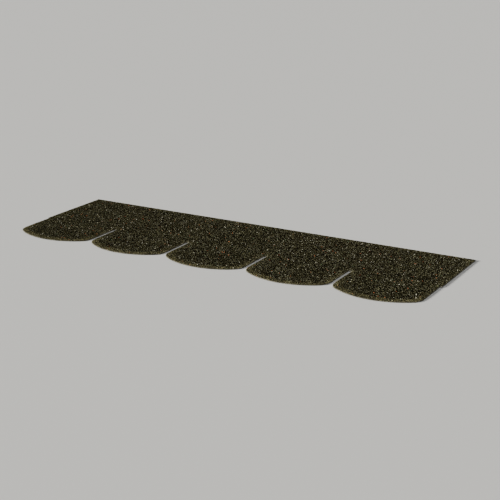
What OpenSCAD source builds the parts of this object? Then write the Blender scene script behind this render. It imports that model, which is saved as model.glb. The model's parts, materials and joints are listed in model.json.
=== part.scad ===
// One strip of beaver-tail asphalt shingle, lying flat on its back.
//
// The strip is a single die-cut sheet: glass mat, asphalt and mineral granules
// bonded through its whole thickness. Its lower part is cut into round-ended tabs,
// with an open slot between each two, and half a slot at each end of the strip,
// so that the next strip in the course completes it. The plain upper part is the
// head, which the next two courses cover.
//
// Millimetres. X runs along the course, Y up the roof from the butt line to the
// head edge, Z out of the weathered face. The origin is the middle of the back face.

/* [Strip] */
// Length of the strip along the course
strip_length = 1000; // [600:10:1300]
// Depth of the strip from the butt line to the head edge
strip_depth = 336; // [280:1:400]
// Thickness of the strip over its granules
thickness = 3; // [2:0.1:6]

/* [Tabs] */
// Number of tabs along the strip
tab_count = 5; // [3:1:8]
// Length of a tab from the top of its slot to the butt line
tab_length = 137; // [100:1:180]
// Depth of a tab's rounded end
end_depth = 52; // [38:1:72]
// Radius of the two corners of the rounded end
corner_radius = 32; // [10:1:46]

/* [Slots] */
// Width of the slot between two tabs
slot_width = 8; // [4:0.5:20]
// Radius in the two closed corners of a slot
slot_corner_radius = 1.5; // [0.5:0.25:2]

/* [Hidden] */
$fn = 96;

tab_pitch = strip_length / tab_count;
tab_half_width = (tab_pitch - slot_width) / 2;
butt_y = -strip_depth / 2;
slot_top_y = butt_y + tab_length;
// Level at which a tab's straight sides run into its corners
spring_y = butt_y + end_depth;
corner_x = tab_half_width - corner_radius;
// The shallow arc along the butt that is tangent to both corners
butt_radius = (pow(tab_half_width, 2) + pow(end_depth, 2) - 2 * tab_half_width * corner_radius)
    / (2 * (end_depth - corner_radius));
butt_centre_y = butt_y + butt_radius;

// The pie slice under the butt arc. Its two straight sides run through the centres
// of the corner circles, where the arcs meet.
module butt_sector() {
    reach = butt_radius / (butt_radius - corner_radius);
    intersection() {
        translate([0, butt_centre_y])
            circle(r = butt_radius);
        polygon([
            [0, butt_centre_y],
            [2 * reach * corner_x, butt_centre_y + 2 * reach * (spring_y - butt_centre_y)],
            [-2 * reach * corner_x, butt_centre_y + 2 * reach * (spring_y - butt_centre_y)],
        ]);
    }
}

// One tab, centred on X = 0, with a three-centred end.
module tab_outline() {
    translate([-tab_half_width, spring_y])
        square([2 * tab_half_width, slot_top_y - spring_y]);
    for (side = [-1, 1])
        translate([side * corner_x, spring_y])
            circle(r = corner_radius);
    butt_sector();
}

// The rounding that fills one closed corner of a slot. It points to +X and -Y.
module slot_corner() {
    difference() {
        translate([0, -slot_corner_radius])
            square(slot_corner_radius);
        translate([slot_corner_radius, -slot_corner_radius])
            circle(r = slot_corner_radius);
    }
}

module strip_outline() {
    translate([-strip_length / 2, slot_top_y])
        square([strip_length, strip_depth - tab_length]);
    for (i = [0 : tab_count - 1])
        translate([-strip_length / 2 + (i + 0.5) * tab_pitch, 0]) {
            tab_outline();
            for (side = [-1, 1])
                scale([side, 1])
                    translate([tab_half_width, slot_top_y])
                        slot_corner();
        }
}

module shingle_strip() {
    color([0.17, 0.16, 0.11])
        linear_extrude(height = thickness)
            strip_outline();
}

shingle_strip();
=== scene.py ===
import json
import math
import random

import bmesh
import bpy
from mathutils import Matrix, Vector, noise

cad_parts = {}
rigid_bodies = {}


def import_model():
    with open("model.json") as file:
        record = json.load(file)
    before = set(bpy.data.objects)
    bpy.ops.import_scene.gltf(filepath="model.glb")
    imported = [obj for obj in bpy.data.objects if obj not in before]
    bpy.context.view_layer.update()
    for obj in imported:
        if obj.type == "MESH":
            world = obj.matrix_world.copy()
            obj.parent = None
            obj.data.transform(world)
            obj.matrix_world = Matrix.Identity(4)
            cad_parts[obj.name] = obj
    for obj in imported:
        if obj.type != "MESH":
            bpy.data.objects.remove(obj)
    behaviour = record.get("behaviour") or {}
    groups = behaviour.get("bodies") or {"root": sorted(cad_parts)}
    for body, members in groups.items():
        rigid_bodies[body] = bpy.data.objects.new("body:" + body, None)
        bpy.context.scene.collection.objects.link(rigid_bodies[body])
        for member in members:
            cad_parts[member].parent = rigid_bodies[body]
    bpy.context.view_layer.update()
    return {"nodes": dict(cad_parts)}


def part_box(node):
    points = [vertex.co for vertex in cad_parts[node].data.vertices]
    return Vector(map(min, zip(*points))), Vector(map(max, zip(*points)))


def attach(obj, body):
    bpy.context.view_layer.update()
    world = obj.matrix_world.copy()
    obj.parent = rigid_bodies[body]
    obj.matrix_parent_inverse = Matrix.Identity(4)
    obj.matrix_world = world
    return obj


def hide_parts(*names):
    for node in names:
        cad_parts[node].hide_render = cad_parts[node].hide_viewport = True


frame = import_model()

mm = 0.001
stripNode = "shingle_strip"
backCorner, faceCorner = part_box(stripNode)
stripCentre = (backCorner + faceCorner) / 2


def newMaterial(name, roughness, specular):
    material = bpy.data.materials.new(name)
    material.use_nodes = True
    shader = material.node_tree.nodes["Principled BSDF"]
    shader.inputs["Roughness"].default_value = roughness
    shader.inputs["Specular IOR Level"].default_value = specular
    return material, material.node_tree, shader


def addNode(tree, kind, inputs=None, **settings):
    # Inputs are numbers, or the output sockets of other nodes
    node = tree.nodes.new(kind)
    for name, value in settings.items():
        setattr(node, name, value)
    for name, value in (inputs or {}).items():
        socket = node.inputs[name]
        if isinstance(value, bpy.types.NodeSocket):
            tree.links.new(value, socket)
        else:
            socket.default_value = value
    return node


def addMath(tree, operation, first, second, clamp=False):
    node = addNode(tree, "ShaderNodeMath", {0: first, 1: second}, operation=operation, use_clamp=clamp)
    return node.outputs["Value"]


def addRange(tree, value, low, high, toLow, toHigh):
    # Moves a value from one range to another and holds it inside the new one
    node = addNode(tree, "ShaderNodeMapRange", {
        "Value": value, "From Min": low, "From Max": high, "To Min": toLow, "To Max": toHigh})
    return node.outputs["Result"]


def addNoise(tree, place, scale, spread, low, high, detail=2, roughness=0.5, dimensions="3D"):
    # Soft noise that reaches low and high at the spread to either side of its middle
    cloud = addNode(tree, "ShaderNodeTexNoise", {
        "Vector": place, "Scale": scale, "Detail": detail,
        "Roughness": roughness}, noise_dimensions=dimensions).outputs["Fac"]
    return addRange(tree, cloud, 0.5 - spread, 0.5 + spread, low, high)


def addChannel(tree, colour, channel):
    return addNode(tree, "ShaderNodeSeparateColor", {"Color": colour}).outputs[channel]


def addRamp(tree, amount, stops):
    # stops: (position, (red, green, blue)) from dark to light
    node = addNode(tree, "ShaderNodeValToRGB", {"Fac": amount})
    ramp = node.color_ramp
    while len(ramp.elements) < len(stops):
        ramp.elements.new(0.5)
    for element, (position, colour) in zip(ramp.elements, stops):
        element.position = position
        element.color = (*colour, 1)
    return node.outputs["Color"]


def addBump(tree, shader, height, strength, depth, invert=False):
    bump = addNode(tree, "ShaderNodeBump", {
        "Height": height, "Strength": strength, "Distance": depth}, invert=invert)
    tree.links.new(bump.outputs["Normal"], shader.inputs["Normal"])


def addPiece(name, mesh, *materials):
    piece = bpy.data.objects.new(name, mesh)
    bpy.context.scene.collection.objects.link(piece)
    for material in materials:
        mesh.materials.append(material)
    return piece


# The die-cut sheet of asphalt
sheet = {
    "thickness": 2.5 * mm,      # of the asphalt alone, without the granules
    "merge": 0.01 * mm,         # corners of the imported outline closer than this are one
    "roll": 0.7 * mm,           # how far its border rolls down to the cut edge of a butt
    "rollWidth": 18 * mm,
    "rollSteps": 6,
    "sideShare": 0.2,           # of that roll, along the slots, the ends and the head
    "fullUpTo": 50 * mm,        # above the butt line, where the full roll ends
    "slightFrom": 85 * mm,      # above the butt line, where the slight roll starts
    "wallSteps": 3,             # rings of faces up the cut edge
    "edgeRound": 0.3 * mm,      # softened top corner of the cut edge
    "bareRim": 0.15 * mm,       # from that corner to the outermost granules
    "station": 1.5 * mm,        # spacing of points along the cut edge
    "wander": 0.3 * mm,         # how far the cut edge strays
    "seed": 7,
    "longWander": 260,          # waves of it to a metre
    "shortWander": 600,
    "shortShare": 0.6,          # of the short waves beside the long ones
    "rimPatches": 38,           # pale and dull stretches of the rim to a metre
}
backSlot, wallSlot, coatSlot = range(3)


def stripOutline():
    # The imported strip's outline at its back, as one face that points up
    bm = bmesh.new()
    bm.from_mesh(frame["nodes"][stripNode].data)
    bmesh.ops.remove_doubles(bm, verts=bm.verts, dist=sheet["merge"])
    front = [v for v in bm.verts if v.co.z > stripCentre.z]
    bmesh.ops.delete(bm, geom=front, context="VERTS")
    bmesh.ops.dissolve_faces(bm, faces=bm.faces[:])
    bmesh.ops.reverse_faces(bm, faces=bm.faces[:])
    return bm


def insetFace(bm, face, width, rise=0):
    bmesh.ops.inset_region(bm, faces=[face], thickness=width, depth=0, use_even_offset=True)
    bmesh.ops.translate(bm, verts=face.verts[:], vec=(0, 0, rise))


def ladderFrom(rung, face):
    # The edges beside one edge of a face's outline, up the wall and over the rim
    ladder = [rung]
    face = next(f for f in rung.link_faces if f is not face)
    while len(face.verts) == 4:
        rung = next(e for e in face.edges if not set(e.verts) & set(rung.verts))
        ladder.append(rung)
        face = next(f for f in rung.link_faces if f is not face)
    return ladder


def rollDown(bm, worn):
    # A parabola: steepest at the cut edge and level where the border ends
    for point in bm.verts:
        above = point.co.y - backCorner.y
        fade = (above - sheet["fullUpTo"]) / (sheet["slightFrom"] - sheet["fullUpTo"])
        share = 1 - (1 - sheet["sideShare"]) * min(max(fade, 0), 1)
        point.co.z *= 1 - share * sheet["roll"] / sheet["thickness"] * point[worn] ** 2
        point[worn] *= share


def buildSheet():
    bm = stripOutline()
    back = bm.faces[:][0]
    top = back.copy(verts=False, edges=False)
    for step in range(sheet["wallSteps"]):
        # This one takes the old face away and works in the same order each run
        top = bmesh.ops.extrude_discrete_faces(bm, faces=[top])["faces"][0]
        rise = (sheet["thickness"] - sheet["edgeRound"]) / sheet["wallSteps"]
        bmesh.ops.translate(bm, verts=top.verts[:], vec=(0, 0, rise))
    insetFace(bm, top, sheet["edgeRound"], sheet["edgeRound"])
    insetFace(bm, top, sheet["bareRim"])
    for face in bm.faces:
        face.material_index = wallSlot
    back.material_index = backSlot
    top.material_index = coatSlot
    # This weight shapes the roll and also masks the paler granules of the border, which are partly
    # painted light
    worn = bm.verts.layers.float.new("worn")      # 1 at the cut edge of a butt, 0 inside the border
    for point in bm.verts:
        point[worn] = 1
    for step in range(sheet["rollSteps"]):
        insetFace(bm, top, sheet["rollWidth"] / sheet["rollSteps"])
        for corner in top.verts:
            corner[worn] = 1 - (step + 1) / sheet["rollSteps"]
    for rung in back.edges[:]:
        cuts = round(rung.calc_length() / sheet["station"]) - 1
        if cuts > 0:
            bmesh.ops.subdivide_edges(bm, edges=ladderFrom(rung, back), cuts=cuts)
    rollDown(bm, worn)
    bmesh.ops.recalc_face_normals(bm, faces=bm.faces[:])
    noise.seed_set(sheet["seed"])
    for point in bm.verts:
        stray = noise.noise_vector(point.co * sheet["longWander"])
        stray += sheet["shortShare"] * noise.noise_vector(point.co * sheet["shortWander"])
        height = point.co.z / sheet["thickness"]
        point.co += sheet["wander"] * Vector((stray.x, stray.y, stray.z * height))
    bmesh.ops.triangulate(bm, faces=[f for f in bm.faces if len(f.verts) > 4])
    return bm


def granuleBed(bm):
    # A copy of the coat alone, which the granules are dropped on
    copy = bm.copy()
    others = [f for f in copy.faces if f.material_index != coatSlot]
    bmesh.ops.delete(copy, geom=others, context="FACES")
    mesh = bpy.data.meshes.new("granuleBed")
    copy.to_mesh(mesh)
    copy.free()
    return mesh


# Roughness, specular, grains to a metre, bump strength and depth, then the colours from dark to light
sheetLooks = {
    "asphaltCoat": (0.9, 0.0, 1300, 0.6, 0.3 * mm, [
        (0.0, (0.001, 0.001, 0.001)), (0.75, (0.004, 0.0035, 0.002)), (1.0, (0.05, 0.044, 0.024))]),
    "cutEdge": (0.8, 0.2, 420, 0.8, 0.7 * mm, [
        (0.1, (0.005, 0.0046, 0.0033)), (0.5, (0.04, 0.037, 0.024)), (0.8, (0.125, 0.116, 0.08)),
        (1.0, (0.25, 0.237, 0.173))]),
    "sandedBack": (0.85, 0.2, 1700, 0.6, 0.25 * mm, [
        (0.2, (0.009, 0.009, 0.008)), (0.7, (0.035, 0.033, 0.028)), (1.0, (0.17, 0.16, 0.135))]),
}

# A tone is a place on those colours, from 0 to 1, and the tones of a finish are added up
backPatches = {
    "scale": 24,                # thick and thin patches of sand to a metre
    "tones": (-0.242, 0.198),   # in the thin and in the thick patches
    "spread": 0.2,
    "detail": 5,
    "roughness": 0.65,
}

cutGrain = {
    "layering": 3,              # how much longer than high the streaks of asphalt are
    "streakTones": (0.0, 0.55),  # darkest and palest
    "streakSpread": 0.14,
    "detail": 4,
    "roughness": 0.7,
    "chips": 5.5,               # chips of stone across a streak
    "chipTones": (-0.1, 0.55),
    "crushedAndLitFrom": 0.1,         # of the sheet's thickness, where the paler top begins: crushed granules, with painted light on the top of the edge
    "crushedAndLitFull": 0.6,         # and where it is palest
    "crushedAndLitTone": 0.25,
    "patches": (0.2, 1.7),      # share of the paler top's tone on the dull and the pale stretches
    "patchSpread": 0.15,
}


def gritLook(name, patches=None):
    # Fine grit over asphalt, thicker in some patches than in others
    roughness, specular, scale, strength, depth, stops = sheetLooks[name]
    material, tree, shader = newMaterial(name, roughness, specular)
    place = addNode(tree, "ShaderNodeTexCoord").outputs["Object"]
    grit = addNode(tree, "ShaderNodeTexVoronoi", {"Vector": place, "Scale": scale})
    tone = addChannel(tree, grit.outputs["Color"], "Red")
    if patches:
        thick = addNoise(
            tree, place, patches["scale"], patches["spread"], *patches["tones"],
            detail=patches["detail"], roughness=patches["roughness"])
        tone = addMath(tree, "ADD", tone, thick)
    tree.links.new(addRamp(tree, tone, stops), shader.inputs["Base Color"])
    addBump(tree, shader, grit.outputs["Distance"], strength, depth, invert=True)
    return material


def rimPatches(tree, place, dull, pale):
    # The same stretches of the rim are paler on the cut edge and on the granules above it
    return addNoise(tree, place, sheet["rimPatches"], cutGrain["patchSpread"], dull, pale)


def cutEdge():
    # Where the die went through: asphalt full of stone, paler at the top where granules were crushed.
    # That paler top is also painted light: the top of the edge painted as if lit, its foot left dark as
    # if in shade
    roughness, specular, scale, strength, depth, stops = sheetLooks["cutEdge"]
    material, tree, shader = newMaterial("cutEdge", roughness, specular)
    place = addNode(tree, "ShaderNodeTexCoord").outputs["Object"]
    height = addNode(tree, "ShaderNodeSeparateXYZ", {"Vector": place}).outputs["Z"]
    # Painted light: the edge grows paler towards its top, partly from crushed granules, partly as a
    # painted highlight on the top and painted shade at the foot
    crushedAndLit = addRange(
        tree, height, cutGrain["crushedAndLitFrom"] * sheet["thickness"],
        cutGrain["crushedAndLitFull"] * sheet["thickness"], 0.0, cutGrain["crushedAndLitTone"])
    crushedAndLit = addMath(tree, "MULTIPLY", crushedAndLit, rimPatches(tree, place, *cutGrain["patches"]))
    layers = addNode(tree, "ShaderNodeMapping", {
        "Vector": place, "Scale": (scale, scale, cutGrain["layering"] * scale)}).outputs["Vector"]
    streaks = addNode(tree, "ShaderNodeTexNoise", {
        "Vector": layers, "Scale": 1, "Detail": cutGrain["detail"],
        "Roughness": cutGrain["roughness"]}).outputs["Fac"]
    spread = cutGrain["streakSpread"]
    streakTone = addRange(tree, streaks, 0.5 - spread, 0.5 + spread, *cutGrain["streakTones"])
    chips = addNode(tree, "ShaderNodeTexVoronoi", {"Vector": place, "Scale": cutGrain["chips"] * scale})
    chipShade = addChannel(tree, chips.outputs["Color"], "Red")
    chipTone = addRange(tree, chipShade, 0.0, 1.0, *cutGrain["chipTones"])
    tone = addMath(tree, "ADD", addMath(tree, "ADD", streakTone, chipTone), crushedAndLit)
    tree.links.new(addRamp(tree, tone, stops), shader.inputs["Base Color"])
    addBump(tree, shader, streaks, strength, depth)
    return material


def makeSheet():
    bm = buildSheet()
    bed = granuleBed(bm)
    mesh = bpy.data.meshes.new("sheet")
    bm.to_mesh(mesh)
    bm.free()
    back = gritLook("sandedBack", backPatches)
    piece = addPiece("shingle_sheet", mesh, back, cutEdge(), gritLook("asphaltCoat"))
    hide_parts(stripNode)
    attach(piece, "root")
    print(f"sheet: {len(mesh.polygons)} faces")
    return bed


# The mineral granules
granules = {
    "seed": 11,
    "spacing": 1.35 * mm,       # closest that two granules' middles come
    "dropped": 1700000,         # tries to a square metre, before the spacing thins them
    "size": 1.75 * mm,          # across the ball that a granule is cut from
    "stones": 14,               # different crushed shapes
    "corners": (6, 7),          # of a shape, fewest and most
    "dents": (0.72, 1.12),      # how far out from the middle a corner sits, beside a ball's
    "tilt": 1.0,                # radians from lying flat on the coat
    "narrow": (0.6, 0.6, 0.55),  # least and most of that size, along, across and up
    "wide": (1.15, 1.15, 0.9),
    "roughness": 0.8,
    "specular": 0.03,
    "slab": 24,                 # granules' widths across the sheet of colour they are cut from
    "shades": 1.4,              # fields of one shade to a granule's width
    "crystals": 6,              # crystals to a granule's width
    "mottle": 0.2,              # how much the crystals change the tone
    "mottleSpread": 0.25,
    "patchScale": 14,           # slow drift of tone over the strip, patches to a metre
    "patchDepth": 0.12,
    "patchSpread": 0.2,
    "patchDetail": 3,
    "dustAndLightAmounts": (0.8, 2.3),         # how much the granules of the rolled border are paled: dust from the die and weather, and painted light where the rolled border would catch the lamp
    "dustAndLightColour": (0.32, 0.288, 0.14),
}

# Share of the blend, size beside the common granules, then the colours from dark to light
granuleBlend = {
    "jet": (0.16, 1, [(0.0, (0.0005, 0.0005, 0.0002)), (1.0, (0.003, 0.0027, 0.0012))]),
    "coal": (0.17, 1, [(0.0, (0.002, 0.0018, 0.0007)), (1.0, (0.012, 0.011, 0.0045))]),
    "basalt": (0.17, 1, [(0.0, (0.01, 0.009, 0.0035)), (1.0, (0.045, 0.041, 0.017))]),
    "olive": (0.2, 1, [(0.0, (0.045, 0.0415, 0.018)), (1.0, (0.15, 0.14, 0.065))]),
    "lichen": (0.14, 1, [(0.0, (0.11, 0.103, 0.052)), (1.0, (0.28, 0.267, 0.15))]),
    "ash": (0.082, 1, [(0.0, (0.21, 0.203, 0.125)), (1.0, (0.39, 0.376, 0.262))]),
    "umber": (0.0687, 1, [(0.0, (0.015, 0.01, 0.0035)), (1.0, (0.08, 0.052, 0.02))]),
    "cream": (0.0055, 1.6, [(0.0, (0.4, 0.38, 0.27)), (1.0, (0.75, 0.72, 0.58))]),
    "brick": (0.002, 1.6, [(0.0, (0.22, 0.05, 0.02)), (1.0, (0.62, 0.21, 0.09))]),
    "sage": (0.0018, 1.4, [(0.0, (0.08, 0.14, 0.07)), (1.0, (0.2, 0.3, 0.17))]),
}


def crushStone(index, draw):
    # One crushed granule, its corners picked from those of a ball
    bm = bmesh.new()
    bmesh.ops.create_icosphere(bm, subdivisions=1, radius=granules["size"] / 2)
    spare = draw.sample(bm.verts[:], len(bm.verts) - draw.randint(*granules["corners"]))
    bmesh.ops.delete(bm, geom=spare, context="VERTS")
    for corner in bm.verts:
        corner.co *= draw.uniform(*granules["dents"])
    middle = sum((v.co for v in bm.verts), Vector()) / len(bm.verts)
    bmesh.ops.translate(bm, verts=bm.verts, vec=-middle)
    bmesh.ops.delete(bm, geom=bm.edges[:], context="EDGES_FACES")
    bmesh.ops.convex_hull(bm, input=bm.verts)
    bmesh.ops.recalc_face_normals(bm, faces=bm.faces[:])
    swatch = bm.loops.layers.uv.new("swatch")
    for face in bm.faces:
        for loop in face.loops:
            loop[swatch].uv = loop.vert.co.xy / (granules["size"] * granules["slab"])
    mesh = bpy.data.meshes.new(f"stone{index}")
    bm.to_mesh(mesh)
    bm.free()
    return bpy.data.objects.new(mesh.name, mesh)


def crushStones():
    draw = random.Random(granules["seed"])
    stones = bpy.data.collections.new("stones")
    for index in range(granules["stones"]):
        stones.objects.link(crushStone(index, draw))
    return stones


def granuleScatter(stones):
    # Drops granules on the bed and keeps the share of them between From and To
    tree = bpy.data.node_groups.new("granuleScatter", "GeometryNodeTree")
    tree.interface.new_socket("Geometry", in_out="INPUT", socket_type="NodeSocketGeometry")
    for name in ("From", "To", "Size"):
        tree.interface.new_socket(name, in_out="INPUT", socket_type="NodeSocketFloat")
    tree.interface.new_socket("Geometry", in_out="OUTPUT", socket_type="NodeSocketGeometry")
    start = addNode(tree, "NodeGroupInput")
    seed = granules["seed"]

    def randomValue(kind, low, high, offset):
        node = addNode(tree, "FunctionNodeRandomValue", data_type=kind)
        sockets = [s for s in node.inputs if s.enabled]
        sockets[0].default_value = low
        sockets[1].default_value = high
        sockets[-1].default_value = seed + offset
        return next(s for s in node.outputs if s.enabled)

    drop = addNode(tree, "GeometryNodeDistributePointsOnFaces", {
        "Mesh": start.outputs["Geometry"], "Distance Min": granules["spacing"],
        "Density Max": granules["dropped"], "Seed": seed}, distribute_method="POISSON")
    lot = randomValue("FLOAT", 0, 1, 1)
    over = addNode(tree, "FunctionNodeCompare", {
        "A": lot, "B": start.outputs["From"]}, operation="GREATER_EQUAL")
    under = addNode(tree, "FunctionNodeCompare", {
        "A": lot, "B": start.outputs["To"]}, operation="LESS_THAN")
    both = addNode(tree, "FunctionNodeBooleanMath", {
        0: over.outputs["Result"], 1: under.outputs["Result"]})
    kept = addNode(tree, "GeometryNodeSeparateGeometry", {
        "Geometry": drop.outputs["Points"], "Selection": both.outputs["Boolean"]})
    spotted = addNode(tree, "GeometryNodeStoreNamedAttribute", {
        "Geometry": kept.outputs["Selection"], "Name": "spot",
        "Value": randomValue("FLOAT_VECTOR", (0, 0, 0), (1, 1, 0), 2)}, data_type="FLOAT_VECTOR")
    shapes = addNode(tree, "GeometryNodeCollectionInfo", {
        "Collection": stones, "Separate Children": True, "Reset Children": True})
    tilt = granules["tilt"]
    turn = addNode(tree, "FunctionNodeEulerToRotation", {
        "Euler": randomValue("FLOAT_VECTOR", (-tilt, -tilt, 0), (tilt, tilt, math.tau), 4)})
    lean = addNode(tree, "FunctionNodeRotateRotation", {
        "Rotation": drop.outputs["Rotation"],
        "Rotate By": turn.outputs["Rotation"]}, rotation_space="LOCAL")
    scale = addNode(tree, "ShaderNodeVectorMath", {
        0: randomValue("FLOAT_VECTOR", granules["narrow"], granules["wide"], 5),
        "Scale": start.outputs["Size"]}, operation="SCALE")
    placed = addNode(tree, "GeometryNodeInstanceOnPoints", {
        "Points": spotted.outputs["Geometry"],
        "Instance": shapes.outputs["Instances"], "Pick Instance": True,
        "Instance Index": randomValue("INT", 0, granules["stones"] - 1, 3),
        "Rotation": lean.outputs["Rotation"], "Scale": scale.outputs["Vector"]})
    real = addNode(tree, "GeometryNodeRealizeInstances", {"Geometry": placed.outputs["Instances"]})
    spot = addNode(tree, "GeometryNodeInputNamedAttribute", {
        "Name": "spot"}, data_type="FLOAT_VECTOR")
    near = addNode(tree, "GeometryNodeInputNamedAttribute", {
        "Name": "swatch"}, data_type="FLOAT_VECTOR")
    place = addNode(tree, "ShaderNodeVectorMath", {
        0: spot.outputs["Attribute"], 1: near.outputs["Attribute"]}, operation="ADD")
    mapped = addNode(tree, "GeometryNodeStoreNamedAttribute", {
        "Geometry": real.outputs["Geometry"], "Name": "swatch", "Value": place.outputs["Vector"]},
        data_type="FLOAT2", domain="CORNER")
    done = addNode(tree, "GeometryNodeRemoveAttribute", {
        "Geometry": mapped.outputs["Geometry"], "Name": "spot"})
    addNode(tree, "NodeGroupOutput", {"Geometry": done.outputs["Geometry"]})
    return tree


def granuleFinish(name, stops):
    # Each granule is cut from its own spot of one mottled slab of colour
    material, tree, shader = newMaterial(
        name + "Granules", granules["roughness"], granules["specular"])
    spot = addNode(tree, "ShaderNodeUVMap", uv_map="swatch").outputs["UV"]
    shades = addNode(tree, "ShaderNodeTexVoronoi", {
        "Vector": spot, "Scale": granules["shades"] * granules["slab"]},
        voronoi_dimensions="2D").outputs["Color"]
    mottle = granules["mottle"]
    mottled = addNoise(
        tree, spot, granules["crystals"] * granules["slab"], granules["mottleSpread"],
        -mottle, mottle, dimensions="2D")
    place = addNode(tree, "ShaderNodeTexCoord").outputs["Object"]
    depth = granules["patchDepth"]
    drift = addNoise(
        tree, place, granules["patchScale"], granules["patchSpread"],
        -depth, depth, detail=granules["patchDetail"])
    tone = addMath(tree, "ADD", addChannel(tree, shades, "Red"), addMath(tree, "ADD", mottled, drift))
    # Pale dust lies thick on some granules of the border and leaves others bare; this paler border is
    # also painted light, as if the rolled border caught the lamp
    worn = addNode(tree, "ShaderNodeAttribute", attribute_name="worn").outputs["Fac"]
    dustAndLightMask = addMath(tree, "MULTIPLY", worn, rimPatches(tree, place, *granules["dustAndLightAmounts"]), clamp=True)
    dustedAndLit = addNode(tree, "ShaderNodeMix", {
        "Factor": addMath(tree, "MULTIPLY", dustAndLightMask, addChannel(tree, shades, "Green")),
        "A": addRamp(tree, tone, stops), "B": (*granules["dustAndLightColour"], 1)}, data_type="RGBA")
    tree.links.new(dustedAndLit.outputs["Result"], shader.inputs["Base Color"])
    return material


def makeGranules(bed):
    stones = crushStones()
    scatter = granuleScatter(stones)
    sockets = {s.name: s.identifier for s in scatter.interface.items_tree if s.in_out == "INPUT"}
    low = 0.0
    for name, (share, size, stops) in granuleBlend.items():
        spread = bpy.data.objects.new("spread", bed)
        bpy.context.scene.collection.objects.link(spread)
        drop = spread.modifiers.new("drop", "NODES")
        drop.node_group = scatter
        drop[sockets["From"]] = low
        drop[sockets["To"]] = low + share
        drop[sockets["Size"]] = size
        shown = spread.evaluated_get(bpy.context.evaluated_depsgraph_get())
        mesh = bpy.data.meshes.new_from_object(shown)
        bpy.data.objects.remove(spread)
        mesh.materials.clear()
        piece = addPiece("granules_" + name, mesh, granuleFinish(name, stops))
        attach(piece, "root")
        low += share
        print(f"granules, {name}: {len(mesh.polygons)} faces")
    for stone in stones.objects[:]:
        bpy.data.objects.remove(stone)
    bpy.data.collections.remove(stones)
    bpy.data.node_groups.remove(scatter)
    bpy.data.meshes.remove(bed)


# The floor, the lights and the camera
studio = {
    "floorSize": 60,
    "floorDrop": 0.05 * mm,     # below the strip's back
    "floorColour": (0.72, 0.71, 0.68),
    "floorRoughness": 0.9,
    "floorSpecular": 0.2,
    "fill": 0.07,
    "fillColour": (0.98, 0.99, 1.0),
}

# Azimuth, height and spread in degrees, then strength and colour
lamps = {
    "keyLamp": (305, 14, 10, 9.0, (1.0, 0.995, 0.96)),
    "backLamp": (140, 30, 30, 0.6, (0.97, 0.98, 1.0)),
    "skyLamp": (20, 70, 38, 0.62, (0.97, 0.98, 1.0)),
}

camera = {
    "azimuth": 30,
    "elevation": 17.5,
    "distance": 2.52,
    "lens": 82,
    "aim": (0.035, 0.012, -0.008),
}


def directionTo(azimuth, elevation):
    # Azimuth 0 is in front of the butts and 90 is past the right end
    a = math.radians(azimuth)
    e = math.radians(elevation)
    return Vector((math.sin(a) * math.cos(e), -math.cos(a) * math.cos(e), math.sin(e)))


def makeFloor():
    bm = bmesh.new()
    bmesh.ops.create_grid(bm, x_segments=4, y_segments=4, size=studio["floorSize"] / 2)
    bmesh.ops.translate(bm, verts=bm.verts, vec=(0, 0, backCorner.z - studio["floorDrop"]))
    mesh = bpy.data.meshes.new("floor")
    bm.to_mesh(mesh)
    bm.free()
    material, tree, shader = newMaterial(
        "paleFloor", studio["floorRoughness"], studio["floorSpecular"])
    shader.inputs["Base Color"].default_value = (*studio["floorColour"], 1)
    addPiece("floor", mesh, material)
    world = bpy.data.worlds.new("studio")
    world.use_nodes = True
    sky = world.node_tree.nodes["Background"]
    sky.inputs["Color"].default_value = (*studio["fillColour"], 1)
    sky.inputs["Strength"].default_value = studio["fill"]
    bpy.context.scene.world = world


def makeLamps():
    for name, (azimuth, elevation, spread, strength, colour) in lamps.items():
        light = bpy.data.lights.new(name, "SUN")
        light.angle = math.radians(spread)
        light.energy = strength
        light.color = colour
        lamp = bpy.data.objects.new(name, light)
        bpy.context.scene.collection.objects.link(lamp)
        away = directionTo(azimuth, elevation)
        lamp.location = stripCentre + away
        lamp.rotation_euler = away.to_track_quat("Z", "Y").to_euler()


def makeCamera():
    lens = bpy.data.cameras.new("camera")
    lens.lens = camera["lens"]
    view = bpy.data.objects.new("camera", lens)
    bpy.context.scene.collection.objects.link(view)
    away = directionTo(camera["azimuth"], camera["elevation"])
    view.location = stripCentre + Vector(camera["aim"]) + away * camera["distance"]
    view.rotation_euler = away.to_track_quat("Z", "Y").to_euler()
    bpy.context.scene.camera = view


makeCamera()
makeGranules(makeSheet())
makeFloor()
makeLamps()
print("studio ready")
